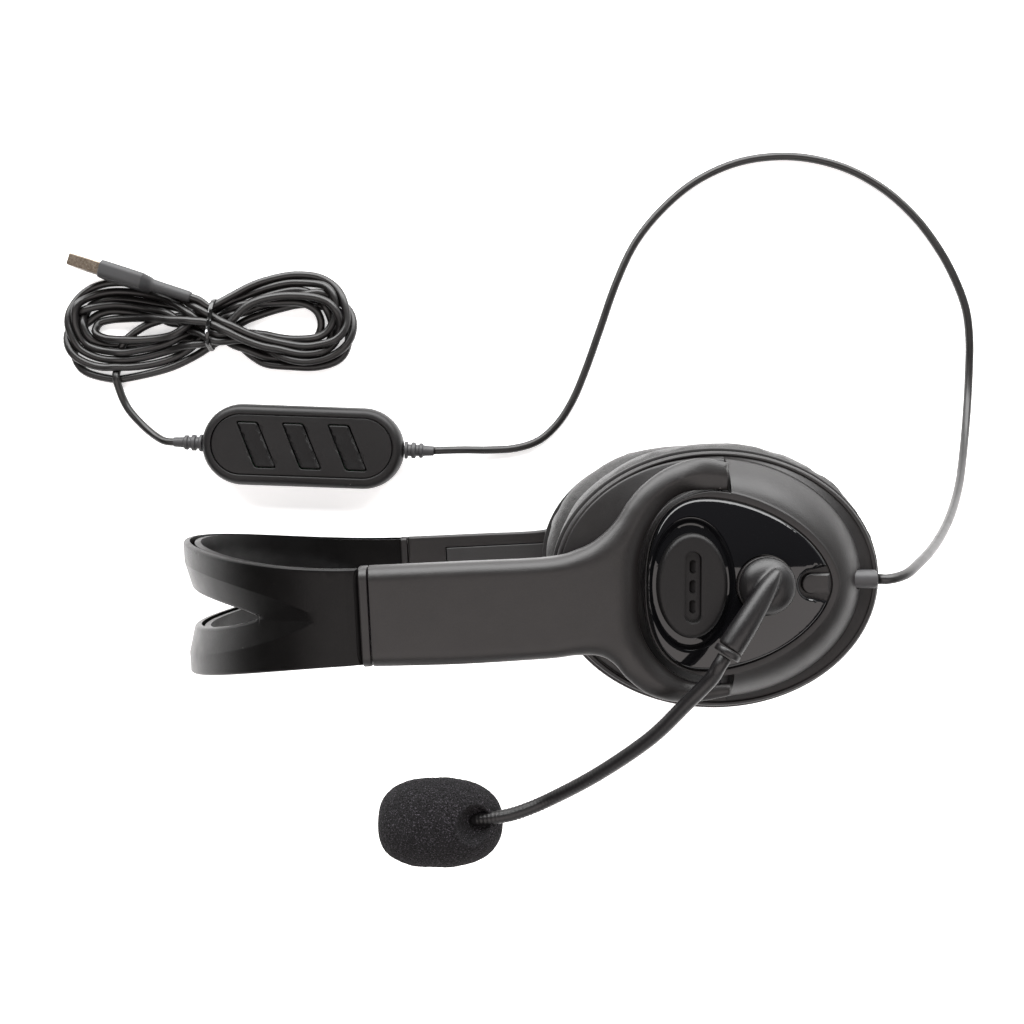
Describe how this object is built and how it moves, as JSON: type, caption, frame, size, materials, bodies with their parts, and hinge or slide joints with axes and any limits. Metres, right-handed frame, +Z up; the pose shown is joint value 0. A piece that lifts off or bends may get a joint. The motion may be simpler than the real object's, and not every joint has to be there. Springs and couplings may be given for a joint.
{
  "type": "office headset",
  "caption": "Over-ear wired office headset with a swinging microphone boom, sliding arms, tilting ear cups, in-line remote keys and a tied cable with a plug.",
  "frame": {"origin": "on the table under the middle of the headset without its free cord, remote and plug; the headset lies on its side with the far arm and far cup on the table", "axes": "+X from the headband's crown towards the ear cups, +Y across the headband towards the rear edge of the cups, away from the microphone, +Z up from the table, from the far cup to the near cup"},
  "size_m": [0.3495, 0.2432, 0.1474],
  "materials": {
    "satin_plastic": "fine satin",
    "liner_plastic": "semi-matt",
    "gloss_plastic": "polished",
    "inner_plastic": "matt",
    "leatherette": "soft grained",
    "ear_cloth": "fine knit",
    "windscreen_foam": "open-cell foam",
    "cable_jacket": "semi-gloss jacket",
    "soft_rubber": "matt",
    "steel": "bright rolled",
    "plug_shell": "dull nickel",
    "circuit_board": "solder mask",
    "diaphragm_film": "thin film"
  },
  "bodies": {
    "near_arm": {"near_arm": "satin_plastic", "near_arm_cover": "inner_plastic", "near_hinge_pin_upper": "steel", "near_hinge_pin_lower": "steel", "remote_lower_shell": "satin_plastic", "remote_upper_shell": "satin_plastic", "remote_face_plate": "satin_plastic", "remote_circuit_board": "circuit_board", "remote_boot_left": "soft_rubber", "remote_boot_right": "soft_rubber", "cord_upper": "cable_jacket", "cord_lower": "cable_jacket", "cord_hank": "cable_jacket", "hank_tie": "soft_rubber", "usb_overmold": "soft_rubber", "usb_shell": "plug_shell", "usb_tongue": "inner_plastic"},
    "headband": {"headband_shell": "satin_plastic", "headband_liner": "liner_plastic", "band_end_cap_near": "satin_plastic", "band_end_cap_far": "satin_plastic", "slider_blade_near": "steel", "slider_blade_far": "steel"},
    "far_arm": {"far_arm": "satin_plastic", "far_arm_cover": "inner_plastic", "far_hinge_pin_upper": "steel", "far_hinge_pin_lower": "steel"},
    "near_cup": {"near_cup_shell": "satin_plastic", "near_gloss_cover": "gloss_plastic", "near_cover_tab": "satin_plastic", "near_badge": "satin_plastic", "near_baffle": "inner_plastic", "near_driver_frame": "inner_plastic", "near_driver_magnet": "steel", "near_diaphragm": "diaphragm_film", "near_ear_cushion": "leatherette", "near_ear_cloth": "ear_cloth", "mic_socket": "satin_plastic", "cable_gland": "soft_rubber"},
    "far_cup": {"far_cup_shell": "satin_plastic", "far_gloss_cover": "gloss_plastic", "far_cover_tab": "satin_plastic", "far_badge": "satin_plastic", "far_baffle": "inner_plastic", "far_driver_frame": "inner_plastic", "far_driver_magnet": "steel", "far_diaphragm": "diaphragm_film", "far_ear_cushion": "leatherette", "far_ear_cloth": "ear_cloth"},
    "mic_boom": {"boom_base": "satin_plastic", "boom_collar": "satin_plastic", "boom_gooseneck": "satin_plastic", "mic_capsule": "inner_plastic", "foam_windscreen": "windscreen_foam"},
    "key_left": {"remote_key_left": "satin_plastic"},
    "key_middle": {"remote_key_middle": "satin_plastic"},
    "key_right": {"remote_key_right": "satin_plastic"}
  },
  "joints": [
    {"name": "band_slide", "type": "slide", "parent": "near_arm", "child": "headband", "axis": [-0.9988, -0.0489, 0], "range_m": [0, 0.025]},
    {"name": "far_arm_slide", "type": "slide", "parent": "headband", "child": "far_arm", "axis": [0.9988, 0.0489, 0], "range_m": [0, 0.025]},
    {"name": "near_cup_pivot", "type": "hinge", "parent": "near_arm", "child": "near_cup", "pos_m": [0.0565, 0.0252, 0.1287], "axis": [0, 1, 0], "range_deg": [-10, 10], "deforming": ["cord_upper"]},
    {"name": "far_cup_pivot", "type": "hinge", "parent": "far_arm", "child": "far_cup", "pos_m": [0.0565, 0.0252, 0.0093], "axis": [0, 1, 0], "range_deg": [-10, 10]},
    {"name": "boom_pivot", "type": "hinge", "parent": "near_cup", "child": "mic_boom", "pos_m": [0.0686, 0.0245, 0.137], "axis": [0, 0, 1], "range_deg": [-4, 95]},
    {"name": "key_left_press", "type": "slide", "parent": "near_arm", "child": "key_left", "axis": [0, 0, -1], "range_m": [0, 0.0006], "stiffness_N_per_m": 700},
    {"name": "key_middle_press", "type": "slide", "parent": "near_arm", "child": "key_middle", "axis": [0, 0, -1], "range_m": [0, 0.0006], "stiffness_N_per_m": 700},
    {"name": "key_right_press", "type": "slide", "parent": "near_arm", "child": "key_right", "axis": [0, 0, -1], "range_m": [0, 0.0006], "stiffness_N_per_m": 700}
  ]
}
